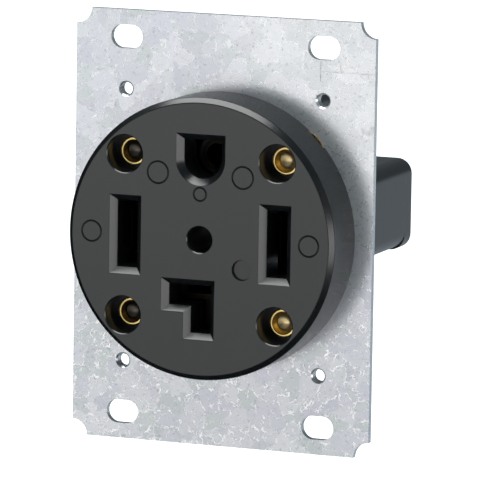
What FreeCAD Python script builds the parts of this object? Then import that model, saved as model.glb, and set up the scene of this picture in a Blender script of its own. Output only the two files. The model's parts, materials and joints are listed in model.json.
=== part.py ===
import FreeCAD, Part

import os

# Flush-mounted four-wire dryer outlet, in millimetres.
# X points right, Z up and Y into the wall. The origin is the centre of the steel strap's back face.

# Steel strap
strap_width = 69.85
strap_height = 95.25
strap_thickness = 1.6
corner_notch_radius = 3.5
box_slot_spacing_x = 46.02
box_slot_spacing_z = 83.34
box_slot_length = 7.4
box_slot_width = 5.2
plate_hole_spacing_x = 46.02
plate_hole_spacing_z = 60.33
plate_hole_diameter = 2.8
plate_collar_wall = 0.6
plate_collar_height = 0.8
window_clearance = 0.25

# Face cover, a drum in front of the strap
drum_diameter = 61.8
drum_height = 13.4
drum_edge_chamfer = 1.1
face_wall = 8.5
centre_hole_diameter = 6.2
centre_hole_depth = 9.0

# Mouths of the blade openings on the face, measured from the drum's axis
mouth_chamfer_width = 1.4
mouth_chamfer_depth = 1.5
hot_mouth_offset = 17.4
hot_mouth_width = 7.5
hot_mouth_height = 17.5
ground_mouth_width = 11.5
ground_mouth_near = 11.75
ground_mouth_far = 23.05
neutral_limb_width = 7.45
neutral_mouth_near = 8.75
neutral_mouth_far = 22.1
neutral_mouth_reach = 8.85

# Rear mouldings, a cross-shaped tower on a round flange
body_depth = 43.0
arm_reach = 26.3
arm_width = 20.0
arm_corner_radius = 3.0
arm_wall = 2.2
core_wall = 3.0
neck_depth = 12.0
core_corner_radius = 2.0
rear_cover_thickness = 2.2
chamber_near = 9.4
housing_overhang = 1.7
housing_low = 7.2
housing_low_upright = 10.0
housing_high = 12.6
housing_corner_radius = 3.4
housing_wall = 2.0
flange_diameter = 59.0
flange_thickness = 6.0
flange_edge_chamfer = 1.0
pad_proud = 0.45
pad_length = 4.2

# Tubular rivets through cover, strap and flange, on a square pattern
rivet_spacing = 35.4
rivet_diameter = 4.8
rivet_hole_clearance = 0.1
rivet_roll_diameter = 6.4
rivet_roll_height = 1.1
rivet_roll_break = 0.3
rivet_mouth_diameter = 5.0
rivet_mouth_depth = 1.2
rivet_bore_diameter = 3.9
rivet_bore_depth = 4.0
rivet_bore_cone_depth = 1.0
rivet_head_diameter = 8.0
rivet_head_thickness = 1.2
rivet_recess_diameter = 8.65
rivet_recess_depth = 6.2

# Brass blade contacts
strip_thickness = 1.2
blade_thickness = 2.1
blade_grip = 0.2
contact_front_gap = 1.5
contact_width = 10.0
contact_flare = 1.25
contact_flare_length = 2.5
throat_length = 4.0
spread_length = 8.5
spread_gap = 7.0
bend_radius = 0.8
neutral_contact_end_gap = 0.65
neutral_foot_gap = 0.5

# Ground contact, a sleeve rolled from its own tail
sleeve_bore = 4.9
sleeve_wall = 1.0
sleeve_length = 17.0
sleeve_slit = 1.2
tail_width = 8.0
tail_start = 10.0

# Spring steel clips round the contacts
spring_thickness = 0.8
spring_length = 3.0
neutral_spring_reach = 4.4
ground_spring_length = 2.4
ground_spring_margin = 0.2

# Ground strap between steel strap and cover
bond_thickness = 0.5
bond_width = 7.0
bond_rivet_end_radius = 6.1
bond_sleeve_end_radius = 5.4
bond_fit = 0.05
bond_recess_clearance = 0.2
bond_recess_play = 0.05

# Terminal lugs, one behind each contact
lug_width = 12.0
lug_low = 4.9
lug_high = 6.9
lug_depth = 11.2
lug_corner_radius = 0.8
lug_clearance = 0.2
wire_bore_diameter = 6.4
wire_bore_offset = 0.8
wire_entry_clearance = 0.5

# Terminal screws, driven from the thicker side of each arm
screw_diameter = 4.8
screw_hole_clearance = 0.05
screw_head_diameter = 6.4
screw_head_height = 2.6
screw_head_gap = 0.6
screw_from_lug_rear = 3.8
screw_well_clearance = 0.3
screw_slot_width = 1.2
screw_slot_depth = 1.1

# Stations along Y
strap_front = -strap_thickness
face_front = strap_front - drum_height
face_inside = face_front + face_wall
contact_front = face_inside + contact_front_gap
throat_front = contact_front + contact_flare_length
throat_rear = throat_front + throat_length
lug_rear = body_depth - rear_cover_thickness
lug_front = lug_rear - lug_depth
web_front = lug_front - strip_thickness
screw_station = lug_rear - screw_from_lug_rear
spring_front = throat_front + (throat_length - spring_length) / 2

# Sizes that follow
drum_radius = drum_diameter / 2
arm_half = arm_width / 2
chamber_half = arm_half - arm_wall
chamber_far = arm_reach - arm_wall
housing_reach = arm_reach + housing_overhang
lug_half = lug_width / 2
throat_half = (blade_thickness - blade_grip) / 2
contact_half = contact_width / 2
sleeve_radius = sleeve_bore / 2 + sleeve_wall
sleeve_offset = ground_mouth_near + ground_mouth_width / 2
screw_well_radius = screw_head_diameter / 2 + screw_well_clearance
rivet_at = rivet_spacing / 2

# Turn of each arm about Y, from the right-hand one, and the thin side of its housing
arm_turns = {"hot_right": 0, "ground": -90, "hot_left": 180, "neutral": 90}
thin_sides = {"hot_right": housing_low, "ground": housing_low_upright,
              "hot_left": housing_low, "neutral": housing_low_upright}

# Room left past a face by every cutting body
overrun = 1.0

# Slack in telling edges apart by their place
small = 1e-6


def vec(x, y, z):
    return FreeCAD.Vector(x, y, z)


def box(x, y, z):
    """A box between the low and high values of each axis."""
    return Part.makeBox(x[1] - x[0], y[1] - y[0], z[1] - z[0], vec(x[0], y[0], z[0]))


def rod(radius, y, x=0.0, z=0.0):
    """A cylinder along Y."""
    return Part.makeCylinder(radius, y[1] - y[0], vec(x, y[0], z), vec(0, 1, 0))


def side_rod(radius, z, x, y):
    """A cylinder along Z."""
    return Part.makeCylinder(radius, z[1] - z[0], vec(x, y, z[0]), vec(0, 0, 1))


def outline(points, y):
    """A closed straight-sided wire across Y."""
    corners = [vec(x, y, z) for x, z in points]
    return Part.makePolygon(corners + corners[:1])


def prism(wire, length):
    """A wire filled and drawn out along Y."""
    return Part.Face(wire).extrude(vec(0, length, 0))


def rounded_block(x, y, z, radius):
    """A box with its four edges along Y rounded."""
    block = box(x, y, z)
    along_y = [e for e in block.Edges if e.BoundBox.YLength > small]
    return block.makeFillet(radius, along_y)


def spun(corners):
    """A closed profile of radius and Y, revolved about Y."""
    profile = [vec(radius, y, 0) for radius, y in corners]
    return Part.Face(Part.makePolygon(profile + profile[:1])).revolve(vec(0, 0, 0), vec(0, 1, 0), 360)


def turned(shape, degrees):
    """A copy turned about Y."""
    copy = shape.copy()
    copy.rotate(vec(0, 0, 0), vec(0, 1, 0), degrees)
    return copy


def union(shapes):
    return shapes[0].multiFuse(shapes[1:]).removeSplitter()


def on_each_arm(shape):
    return [turned(shape, degrees) for degrees in arm_turns.values()]


def rivet_places():
    return [(sx * rivet_at, sz * rivet_at) for sx in (-1, 1) for sz in (-1, 1)]


def plus_prism(clearance, y):
    """The crossed arms' outline, widened all round and drawn out along Y."""
    reach = arm_reach + clearance
    half = arm_half + clearance
    radius = arm_corner_radius + clearance
    level = rounded_block((-reach, reach), y, (-half, half), radius)
    upright = rounded_block((-half, half), y, (-reach, reach), radius)
    return union([level, upright])


def tower_prism(y):
    """The housing's arms, each thicker on the side of its screw, drawn out along Y."""
    arms = []
    for name, thin in thin_sides.items():
        arm = rounded_block((-thin, housing_reach), y, (-thin, housing_high), housing_corner_radius)
        arms.append(turned(arm, arm_turns[name]))
    return union(arms)


def mounting_strap():
    """Steel plate with notched corners, box slots, tapped plate holes and a window for the body."""
    plate_y = (strap_front, 0)
    cut_y = (strap_front - overrun, overrun)
    plate = box((-strap_width / 2, strap_width / 2), plate_y, (-strap_height / 2, strap_height / 2))
    tools = [plus_prism(window_clearance, cut_y)]
    collars = []
    hole_radius = plate_hole_diameter / 2
    for sx in (-1, 1):
        for sz in (-1, 1):
            tools.append(rod(corner_notch_radius, cut_y, sx * strap_width / 2, sz * strap_height / 2))
            slot_x = sx * box_slot_spacing_x / 2
            slot_z = sz * box_slot_spacing_z / 2
            slot_straight = (box_slot_length - box_slot_width) / 2
            slot_half = box_slot_width / 2
            tools.append(box((slot_x - slot_straight, slot_x + slot_straight), cut_y,
                             (slot_z - slot_half, slot_z + slot_half)))
            for end in (-1, 1):
                tools.append(rod(slot_half, cut_y, slot_x + end * slot_straight, slot_z))
            hole_x = sx * plate_hole_spacing_x / 2
            hole_z = sz * plate_hole_spacing_z / 2
            collar_y = (strap_front, plate_collar_height)
            collars.append(rod(hole_radius + plate_collar_wall, collar_y, hole_x, hole_z))
            tools.append(rod(hole_radius, (collar_y[0] - overrun, collar_y[1] + overrun), hole_x, hole_z))
    for x, z in rivet_places():
        tools.append(rod(rivet_diameter / 2 + rivet_hole_clearance, cut_y, x, z))
    return union([plate] + collars).cut(union(tools))


def hot_mouth(inset, y):
    """Upright slot of one hot blade, on the right-hand side."""
    half_w = hot_mouth_width / 2 - inset
    half_h = hot_mouth_height / 2 - inset
    low = hot_mouth_offset - half_w
    high = hot_mouth_offset + half_w
    return outline([(low, -half_h), (high, -half_h), (high, half_h), (low, half_h)], y)


def neutral_mouth(inset, y):
    """L-shaped slot below the axis, its foot to the left along the top."""
    half = neutral_limb_width / 2 - inset
    top = -neutral_mouth_near - inset
    foot_low = -neutral_mouth_near - neutral_limb_width + inset
    bottom = -neutral_mouth_far + inset
    left = -neutral_mouth_reach + inset
    return outline([(left, top), (half, top), (half, bottom), (-half, bottom),
                    (-half, foot_low), (left, foot_low)], y)


def ground_mouth(inset, y):
    """U-shaped opening above the axis, flat on top and round below."""
    half = ground_mouth_width / 2 - inset
    top = ground_mouth_far - inset
    left_top = vec(-half, y, top)
    right_top = vec(half, y, top)
    left_low = vec(-half, y, sleeve_offset)
    right_low = vec(half, y, sleeve_offset)
    bowl = Part.Arc(right_low, vec(0, y, sleeve_offset - half), left_low).toShape()
    return Part.Wire([Part.makeLine(left_top, right_top), Part.makeLine(right_top, right_low),
                      bowl, Part.makeLine(left_low, left_top)])


def blade_opening(mouth):
    """Chamfered lead-in and straight throat of one opening, as a cutting body."""
    throat_front_y = face_front + mouth_chamfer_depth
    rings = [mouth(0.0, face_front), mouth(mouth_chamfer_width, throat_front_y)]
    lead_in = Part.makeLoft(rings, True, True)
    throat = prism(mouth(mouth_chamfer_width, throat_front_y), face_inside - throat_front_y + overrun)
    return union([lead_in, throat])


def contact_cavities():
    """Pockets behind the face wall, open towards the body's chambers."""
    y = (face_inside, strap_front + overrun)
    hot = box((chamber_near + arm_wall, chamber_far), y, (-chamber_half, chamber_half))
    ground = box((-chamber_half, chamber_half), y, (chamber_near + arm_wall, chamber_far))
    neutral = box((-neutral_mouth_reach, chamber_half), y, (-chamber_far, -neutral_mouth_near))
    return [hot, turned(hot, arm_turns["hot_left"]), ground, neutral]


def bond_outline(clearance, y):
    """Eye round the ground sleeve, strip, and round end under the upper right rivet."""
    half = bond_width / 2 + clearance
    return union([rod(bond_sleeve_end_radius + clearance, y, 0, sleeve_offset),
                  box((0, rivet_at), y, (rivet_at - half, rivet_at + half)),
                  rod(bond_rivet_end_radius + clearance, y, rivet_at, rivet_at)])


def face_cover():
    """Turned drum with a chamfered rim, pierced by the blade openings and riveted at four recesses."""
    drum = spun([(0, face_front), (drum_radius - drum_edge_chamfer, face_front),
                 (drum_radius, face_front + drum_edge_chamfer), (drum_radius, strap_front), (0, strap_front)])
    hot = blade_opening(hot_mouth)
    tools = [hot, turned(hot, arm_turns["hot_left"])]
    tools += [blade_opening(neutral_mouth), blade_opening(ground_mouth)]
    tools += contact_cavities()
    tools.append(rod(centre_hole_diameter / 2, (face_front - overrun, face_front + centre_hole_depth)))
    bond_y = (strap_front - bond_thickness - bond_recess_play, strap_front + overrun)
    tools.append(bond_outline(bond_recess_clearance, bond_y))
    for x, z in rivet_places():
        recess_y = (face_front - overrun, face_front + rivet_recess_depth)
        tools.append(rod(rivet_recess_diameter / 2, recess_y, x, z))
        tools.append(rod(rivet_diameter / 2 + rivet_hole_clearance,
                         (face_front - overrun, strap_front + overrun), x, z))
    return drum.cut(tools)


def flange():
    """Round foot of the body, flat against the strap's back."""
    radius = flange_diameter / 2
    disc = rod(radius, (0, flange_thickness))
    rear_edge = [e for e in disc.Edges if abs(e.BoundBox.YMin - flange_thickness) < small]
    return disc.makeChamfer(flange_edge_chamfer, rear_edge)


def chambers(y, low, high):
    """Contact chambers of the four arms, between two distances beside each arm's middle."""
    return on_each_arm(box((chamber_near, chamber_far), y, (-low, high)))


def core(y):
    """Square pocket between the chambers."""
    half = chamber_near - core_wall
    return rounded_block((-half, half), y, (-half, half), core_corner_radius)


def arm_pads(y):
    """Low pads at the rear end of each arm's thinner side."""
    pads = []
    for name, thin in thin_sides.items():
        pad = rounded_block((chamber_near, housing_reach), y, (-thin - pad_proud, 0), housing_corner_radius)
        pads.append(turned(pad, arm_turns[name]))
    return pads


def back_body():
    """Flange behind the strap, with a cross-shaped neck that fills the strap's window."""
    neck = plus_prism(0.0, (strap_front, neck_depth))
    tools = chambers((strap_front - overrun, neck_depth + overrun), chamber_half, chamber_half)
    hole_y = (-overrun, flange_thickness + overrun)
    for x, z in rivet_places():
        tools.append(rod(rivet_diameter / 2 + rivet_hole_clearance, hole_y, x, z))
    return union([neck, flange()]).cut(tools)


def terminal_housing():
    """Tower on the neck with lopsided arms: a chamber, a lug pocket and a screw well in each one."""
    low = lug_low + lug_clearance
    high = lug_high + lug_clearance
    across = lug_half + lug_clearance
    lug_pocket = box((hot_mouth_offset - across, hot_mouth_offset + across),
                     (lug_front - overrun, lug_rear + overrun), (-low, high))
    well = side_rod(screw_well_radius, (lug_high, housing_high + overrun), hot_mouth_offset, screw_station)
    tools = chambers((neck_depth - overrun, lug_front), housing_low - housing_wall, high)
    tools += on_each_arm(lug_pocket) + on_each_arm(well)
    tools.append(core((neck_depth - overrun, lug_rear + overrun)))
    pads = arm_pads((body_depth - pad_length, lug_rear))
    return union([tower_prism((neck_depth, lug_rear))] + pads).cut(tools)


def rear_cover():
    """Plate that holds the lugs in their pockets, with a wire entry behind each one."""
    plate_y = (lug_rear, body_depth)
    cut_y = (lug_rear - overrun, body_depth + overrun)
    plate = union([tower_prism(plate_y)] + arm_pads(plate_y))
    entry = rod(wire_bore_diameter / 2 + wire_entry_clearance, cut_y, hot_mouth_offset, wire_bore_offset)
    return plate.cut(on_each_arm(entry) + [core(cut_y)])


def rivet(x, z):
    """Tubular rivet, rolled over in the cover's recess, with its set head behind the flange."""
    shank = rivet_diameter / 2
    mouth = rivet_mouth_diameter / 2
    bore = rivet_bore_diameter / 2
    roll = rivet_roll_diameter / 2
    head = rivet_head_diameter / 2
    seat = face_front + rivet_recess_depth
    crown = seat - rivet_roll_height
    head_rear = flange_thickness + rivet_head_thickness
    bore_end = crown + rivet_bore_depth
    tip = bore_end + rivet_bore_cone_depth
    solid = spun([(mouth, crown), (roll - rivet_roll_break, crown), (roll, crown + rivet_roll_break),
                  (roll, seat), (shank, seat), (shank, flange_thickness),
                  (head, flange_thickness), (head, head_rear), (0, head_rear), (0, tip), (bore, bore_end),
                  (bore, crown + rivet_mouth_depth)])
    solid.translate(vec(x, 0, z))
    return solid


def face_rivets():
    return Part.makeCompound([rivet(x, z) for x, z in rivet_places()])


def ground_strap():
    """Brass strip that bonds the ground sleeve to the steel strap under one rivet."""
    y = (strap_front - bond_thickness, strap_front)
    cut_y = (y[0] - overrun, y[1] + overrun)
    eye = rod(sleeve_radius + bond_fit, cut_y, 0, sleeve_offset)
    hole = rod(rivet_diameter / 2 + rivet_hole_clearance, cut_y, rivet_at, rivet_at)
    return bond_outline(0.0, y).cut([eye, hole])


def hot_contact():
    """Folded strip with two leaves that flare at the mouth and pinch at the throat."""
    throat = throat_half
    spread = spread_gap / 2
    inner = [(throat + contact_flare, contact_front), (throat, throat_front), (throat, throat_rear),
             (spread, throat_rear + spread_length), (spread, web_front)]
    outer = [(x + strip_thickness, y) for x, y in inner[:-1]] + [(spread + strip_thickness, lug_front)]
    right = inner[::-1] + outer
    left = [(-x, y) for x, y in right[::-1]]
    corners = [vec(hot_mouth_offset + x, y, -contact_half) for x, y in right + left]
    leaf = Part.Face(Part.makePolygon(corners + corners[:1])).extrude(vec(0, 0, contact_width))
    folds = [e for e in leaf.Edges
             if e.BoundBox.XLength < small and abs(e.BoundBox.YMin - lug_front) < small]
    return leaf.makeFillet(bend_radius, folds)


def neutral_leaf_outline(near, far, y):
    """One L-shaped leaf between two distances from the blade's middle line, positive on its outer side."""
    middle = -neutral_mouth_near - neutral_limb_width / 2
    bottom = -neutral_mouth_far + mouth_chamfer_width + neutral_contact_end_gap
    left = -neutral_mouth_reach + mouth_chamfer_width + neutral_contact_end_gap
    return outline([(left, middle + near), (near, middle + near), (near, bottom), (far, bottom),
                    (far, middle + far), (left, middle + far)], y)


def neutral_contact():
    """Two L-shaped leaves, whose upright limbs run on to a web at the back."""
    reach = throat_half + strip_thickness
    middle = -neutral_mouth_near - neutral_limb_width / 2
    bottom = -neutral_mouth_far + mouth_chamfer_width + neutral_contact_end_gap
    foot_end = neck_depth - neutral_foot_gap
    pieces = []
    for near, far in ((throat_half, reach), (-reach, -throat_half)):
        pieces.append(prism(neutral_leaf_outline(near, far, contact_front), foot_end - contact_front))
        pieces.append(box((near, far), (foot_end, lug_front), (bottom, middle + near)))
    pieces.append(box((-reach, reach), (web_front, lug_front), (bottom, middle - reach)))
    return union(pieces)


def ground_contact():
    """Sleeve with a slit, rolled from a tail that turns in to a foot on the lug."""
    sleeve_y = (contact_front, contact_front + sleeve_length)
    sleeve = rod(sleeve_radius, sleeve_y, 0, sleeve_offset)
    bore = rod(sleeve_bore / 2, (sleeve_y[0] - overrun, sleeve_y[1] + overrun), 0, sleeve_offset)
    slit = box((-sleeve_slit / 2, sleeve_slit / 2), (sleeve_y[0] - overrun, sleeve_y[1] + overrun),
               (sleeve_offset - sleeve_radius - overrun, sleeve_offset))
    tail_outer = sleeve_offset + sleeve_radius
    tail_x = (-tail_width / 2, tail_width / 2)
    tail = box(tail_x, (contact_front + tail_start, lug_front), (tail_outer - sleeve_wall, tail_outer))
    foot = box((-contact_half, contact_half), (web_front, lug_front),
               (sleeve_offset - sleeve_radius, tail_outer))
    return union([sleeve, tail, foot]).cut([bore, slit])


def hot_spring():
    """Clip bent round both leaves of a hot contact."""
    inner = throat_half + strip_thickness
    outer = inner + spring_thickness
    y = (spring_front, spring_front + spring_length)
    clip = box((hot_mouth_offset - outer, hot_mouth_offset + outer), y,
               (-contact_half, contact_half + spring_thickness))
    gap = box((hot_mouth_offset - inner, hot_mouth_offset + inner), (y[0] - overrun, y[1] + overrun),
              (-contact_half - overrun, contact_half))
    return clip.cut(gap)


def neutral_spring():
    """Clip bent round the upright limb of the neutral contact."""
    inner = throat_half + strip_thickness
    outer = inner + spring_thickness
    y = (spring_front, spring_front + spring_length)
    bottom = -neutral_mouth_far + mouth_chamfer_width + neutral_contact_end_gap
    top = bottom + neutral_spring_reach
    clip = box((-outer, outer), y, (bottom - spring_thickness, top))
    gap = box((-inner, inner), (y[0] - overrun, y[1] + overrun), (bottom, top + overrun))
    return clip.cut(gap)


def ground_spring():
    """Split ring round the ground sleeve."""
    ring_front = contact_front + ground_spring_margin
    y = (ring_front, ring_front + ground_spring_length)
    cut_y = (y[0] - overrun, y[1] + overrun)
    ring = rod(sleeve_radius + spring_thickness, y, 0, sleeve_offset)
    bore = rod(sleeve_radius, cut_y, 0, sleeve_offset)
    split = box((-sleeve_slit / 2, sleeve_slit / 2), cut_y,
                (sleeve_offset - sleeve_radius - spring_thickness - overrun, sleeve_offset))
    return ring.cut([bore, split])


def terminal_lug():
    """Brass block with a wire bore along Y and a tapped hole for its screw, in the right-hand arm."""
    block = rounded_block((hot_mouth_offset - lug_half, hot_mouth_offset + lug_half), (lug_front, lug_rear),
                          (-lug_low, lug_high), lug_corner_radius)
    bore = rod(wire_bore_diameter / 2, (lug_front - overrun, lug_rear + overrun), hot_mouth_offset,
               wire_bore_offset)
    tapped = side_rod(screw_diameter / 2 + screw_hole_clearance, (wire_bore_offset, lug_high + overrun),
                      hot_mouth_offset, screw_station)
    return block.cut([bore, tapped])


def terminal_screw():
    """Slotted screw of the right-hand lug, backed off from the wire bore."""
    head_inner = lug_high + screw_head_gap
    head_outer = head_inner + screw_head_height
    tip = wire_bore_offset + wire_bore_diameter / 2
    head = side_rod(screw_head_diameter / 2, (head_inner, head_outer), hot_mouth_offset, screw_station)
    shank = side_rod(screw_diameter / 2, (tip, head_inner), hot_mouth_offset, screw_station)
    half = screw_slot_width / 2
    reach = screw_head_diameter / 2 + overrun
    slot = box((hot_mouth_offset - reach, hot_mouth_offset + reach),
               (screw_station - half, screw_station + half),
               (head_outer - screw_slot_depth, head_outer + overrun))
    return union([head, shank]).cut(slot)


def all_nodes():
    """Every sub-part under its own name."""
    left = arm_turns["hot_left"]
    lug = terminal_lug()
    screw = terminal_screw()
    nodes = {
        "mounting_strap": mounting_strap(),
        "face_cover": face_cover(),
        "back_body": back_body(),
        "terminal_housing": terminal_housing(),
        "rear_cover": rear_cover(),
        "face_rivets": face_rivets(),
        "ground_strap": ground_strap(),
        "hot_contact_right": hot_contact(),
        "hot_contact_left": turned(hot_contact(), left),
        "neutral_contact": neutral_contact(),
        "ground_contact": ground_contact(),
        "hot_spring_right": hot_spring(),
        "hot_spring_left": turned(hot_spring(), left),
        "neutral_spring": neutral_spring(),
        "ground_spring": ground_spring(),
    }
    nodes["hot_lug_right"] = lug
    nodes["hot_lug_left"] = turned(lug, left)
    nodes["hot_screws"] = Part.makeCompound([screw, turned(screw, left)])
    for arm in ("neutral", "ground"):
        nodes[arm + "_lug"] = turned(lug, arm_turns[arm])
        nodes[arm + "_screw"] = turned(screw, arm_turns[arm])
    return nodes


os.makedirs("parts", exist_ok=True)
for name, shape in all_nodes().items():
    shape.exportStep("parts/" + name + ".step")
    print(name, len(shape.Solids), "solid", round(shape.Volume, 1), "mm3", shape.isValid())
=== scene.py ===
import json
import math

import bmesh
import bpy
from bpy.props import FloatProperty, FloatVectorProperty, PointerProperty
from mathutils import Matrix, Vector


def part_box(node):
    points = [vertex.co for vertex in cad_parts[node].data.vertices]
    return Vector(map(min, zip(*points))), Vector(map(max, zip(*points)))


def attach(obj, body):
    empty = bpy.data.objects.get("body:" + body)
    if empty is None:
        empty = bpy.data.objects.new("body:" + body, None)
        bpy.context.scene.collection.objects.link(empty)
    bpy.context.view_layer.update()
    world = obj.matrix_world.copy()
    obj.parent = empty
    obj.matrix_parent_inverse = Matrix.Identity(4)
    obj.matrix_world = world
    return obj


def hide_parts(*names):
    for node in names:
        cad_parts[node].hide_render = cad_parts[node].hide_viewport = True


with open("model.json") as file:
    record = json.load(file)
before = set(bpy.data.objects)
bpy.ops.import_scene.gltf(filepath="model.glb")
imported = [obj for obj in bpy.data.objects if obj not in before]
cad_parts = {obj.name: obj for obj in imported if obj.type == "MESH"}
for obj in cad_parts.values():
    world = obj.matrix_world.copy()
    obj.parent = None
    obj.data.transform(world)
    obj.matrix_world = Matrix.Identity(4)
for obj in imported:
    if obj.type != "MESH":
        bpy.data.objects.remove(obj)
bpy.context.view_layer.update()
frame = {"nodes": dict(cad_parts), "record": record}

bl_info = {
    "name": "Dryer outlet",
    "version": (1, 0, 0),
    "blender": (4, 5, 0),
    "location": "View3D > Sidebar > Outlet",
    "description": "Dresses a flush-mounted dryer outlet and sets up its studio",
    "category": "Object",
}

STRAP_LOW, STRAP_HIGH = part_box("mounting_strap")
FACE_LOW, FACE_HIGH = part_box("face_cover")
BODY_LOW, BODY_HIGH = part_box("back_body")
HOUSING_LOW, HOUSING_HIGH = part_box("terminal_housing")
COVER_LOW, COVER_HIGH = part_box("rear_cover")
NODES = frame["nodes"]

MM = 0.001
NEAR = 1e-6
OVERRUN = 1.0 * MM
QUARTER = math.pi / 2
ARM_TURNS = {"hot_right": 0, "ground": -90, "hot_left": 180, "neutral": 90}
CORNERS = [(sx, sz) for sx in (-1, 1) for sz in (-1, 1)]

# Sides of the round shapes
ROUND_SIDES = 64
HOLE_SIDES = 48
DRUM_SIDES = 224
FLANGE_SIDES = 160
RIVET_SIDES = 56
SCREW_SIDES = 40
ROOM_SIDES = 96


def length(name, description, millimetres):
    """A size, given in millimetres."""
    return FloatProperty(name=name, description=description, default=millimetres * MM, unit="LENGTH",
                         precision=5)


def colour(name, description, rgb):
    """A linear colour."""
    return FloatVectorProperty(name=name, description=description, default=rgb, subtype="COLOR", min=0.0,
                               max=1.0)


def angle(name, description, degrees):
    """An angle, given in degrees."""
    return FloatProperty(name=name, description=description, default=math.radians(degrees), subtype="ANGLE")


def strength(name, description, value):
    """The brightness of a light."""
    return FloatProperty(name=name, description=description, default=value, min=0.0)


class OutletFace(bpy.types.PropertyGroup):
    rim_chamfer: length("Rim chamfer", "Chamfer of the drum's front edge", 1.1)
    rim_break: length("Rim break", "Softened edges of that chamfer", 0.16)
    wall: length("Face wall", "Thickness of the drum's face", 8.5)
    edge_break: length("Edge break", "Broken edge round every opening", 0.2)
    chamfer_width: length("Chamfer width", "Lead-in of a blade opening, across the face", 1.4)
    chamfer_depth: length("Chamfer depth", "Lead-in of a blade opening, into the face", 1.5)
    hot_offset: length("Hot offset", "Hot opening from the drum's axis", 17.4)
    hot_width: length("Hot width", "Mouth of a hot opening", 7.5)
    hot_height: length("Hot height", "Mouth of a hot opening", 17.5)
    ground_width: length("Ground width", "Mouth of the ground opening", 11.5)
    ground_near: length("Ground near", "Lowest point of the ground mouth", 11.75)
    ground_far: length("Ground far", "Flat top of the ground mouth", 23.05)
    neutral_width: length("Neutral width", "Both limbs of the L-shaped mouth", 7.45)
    neutral_near: length("Neutral near", "Top of the L below the axis", 8.75)
    neutral_far: length("Neutral far", "Bottom of the L below the axis", 22.1)
    neutral_reach: length("Neutral reach", "End of the L's foot beside the axis", 8.85)
    centre_diameter: length("Centre hole", "Blind hole on the drum's axis", 6.2)
    centre_depth: length("Centre depth", "Depth of the blind hole", 9.0)
    recess_diameter: length("Rivet recess", "Counterbore round a rivet", 8.65)
    recess_depth: length("Recess depth", "Depth of the counterbore", 6.2)
    groove: length("Ring groove", "Half the width of an engraved ring", 0.21)


class OutletStrap(bpy.types.PropertyGroup):
    notch_radius: length("Corner notch", "Round notch at each corner", 3.5)
    slot_x: length("Slot spacing X", "Box slots across", 46.02)
    slot_z: length("Slot spacing Z", "Box slots along", 83.34)
    slot_length: length("Slot length", "Box slot from end to end", 7.4)
    slot_width: length("Slot width", "Box slot across", 5.2)
    hole_x: length("Hole spacing X", "Wall plate holes across", 46.02)
    hole_z: length("Hole spacing Z", "Wall plate holes along", 60.33)
    hole_diameter: length("Hole diameter", "Wall plate hole", 2.8)
    countersink: length("Countersink", "Broken edge of a wall plate hole", 0.35)
    collar_wall: length("Collar wall", "Drawn collar behind a wall plate hole", 0.6)
    collar_height: length("Collar height", "Drawn collar behind a wall plate hole", 0.8)
    window_gap: length("Window gap", "Room round the body's neck", 0.25)
    edge_round: length("Edge round", "Rolled edge of the punched outline", 0.2)
    gauge_width: length("Gauge line", "Width of the strip gauge's lines", 0.26)
    gauge_depth: length("Gauge depth", "Depth of the strip gauge's lines", 0.16)
    gauge_x: length("Gauge start", "Upright line of the strip gauge", 22.4)
    gauge_z: length("Gauge height", "Level line of the strip gauge", 36.6)
    gauge_half: length("Gauge half", "Half the upright line of the strip gauge", 2.2)


class OutletRivets(bpy.types.PropertyGroup):
    spacing: length("Spacing", "Side of the rivets' square", 35.4)
    diameter: length("Shank", "Diameter of the shank", 4.8)
    roll_diameter: length("Roll", "Diameter of the rolled end", 6.4)
    roll_height: length("Roll height", "Rolled end above its seat", 1.1)
    mouth_diameter: length("Mouth", "Flared hollow of the rolled end", 4.7)
    mouth_depth: length("Mouth depth", "Flare down to the bore", 1.2)
    bore_diameter: length("Bore", "Hollow of the shank", 3.9)
    bore_depth: length("Bore depth", "Bottom of the bore below the rolled end", 2.2)
    cone_depth: length("Cone depth", "Drill point at the bore's end", 1.0)
    head_diameter: length("Head", "Set head behind the flange", 8.0)
    head_thickness: length("Head thickness", "Set head behind the flange", 1.2)
    head_round: length("Head round", "Rounded edge of the set head", 0.4)


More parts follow.
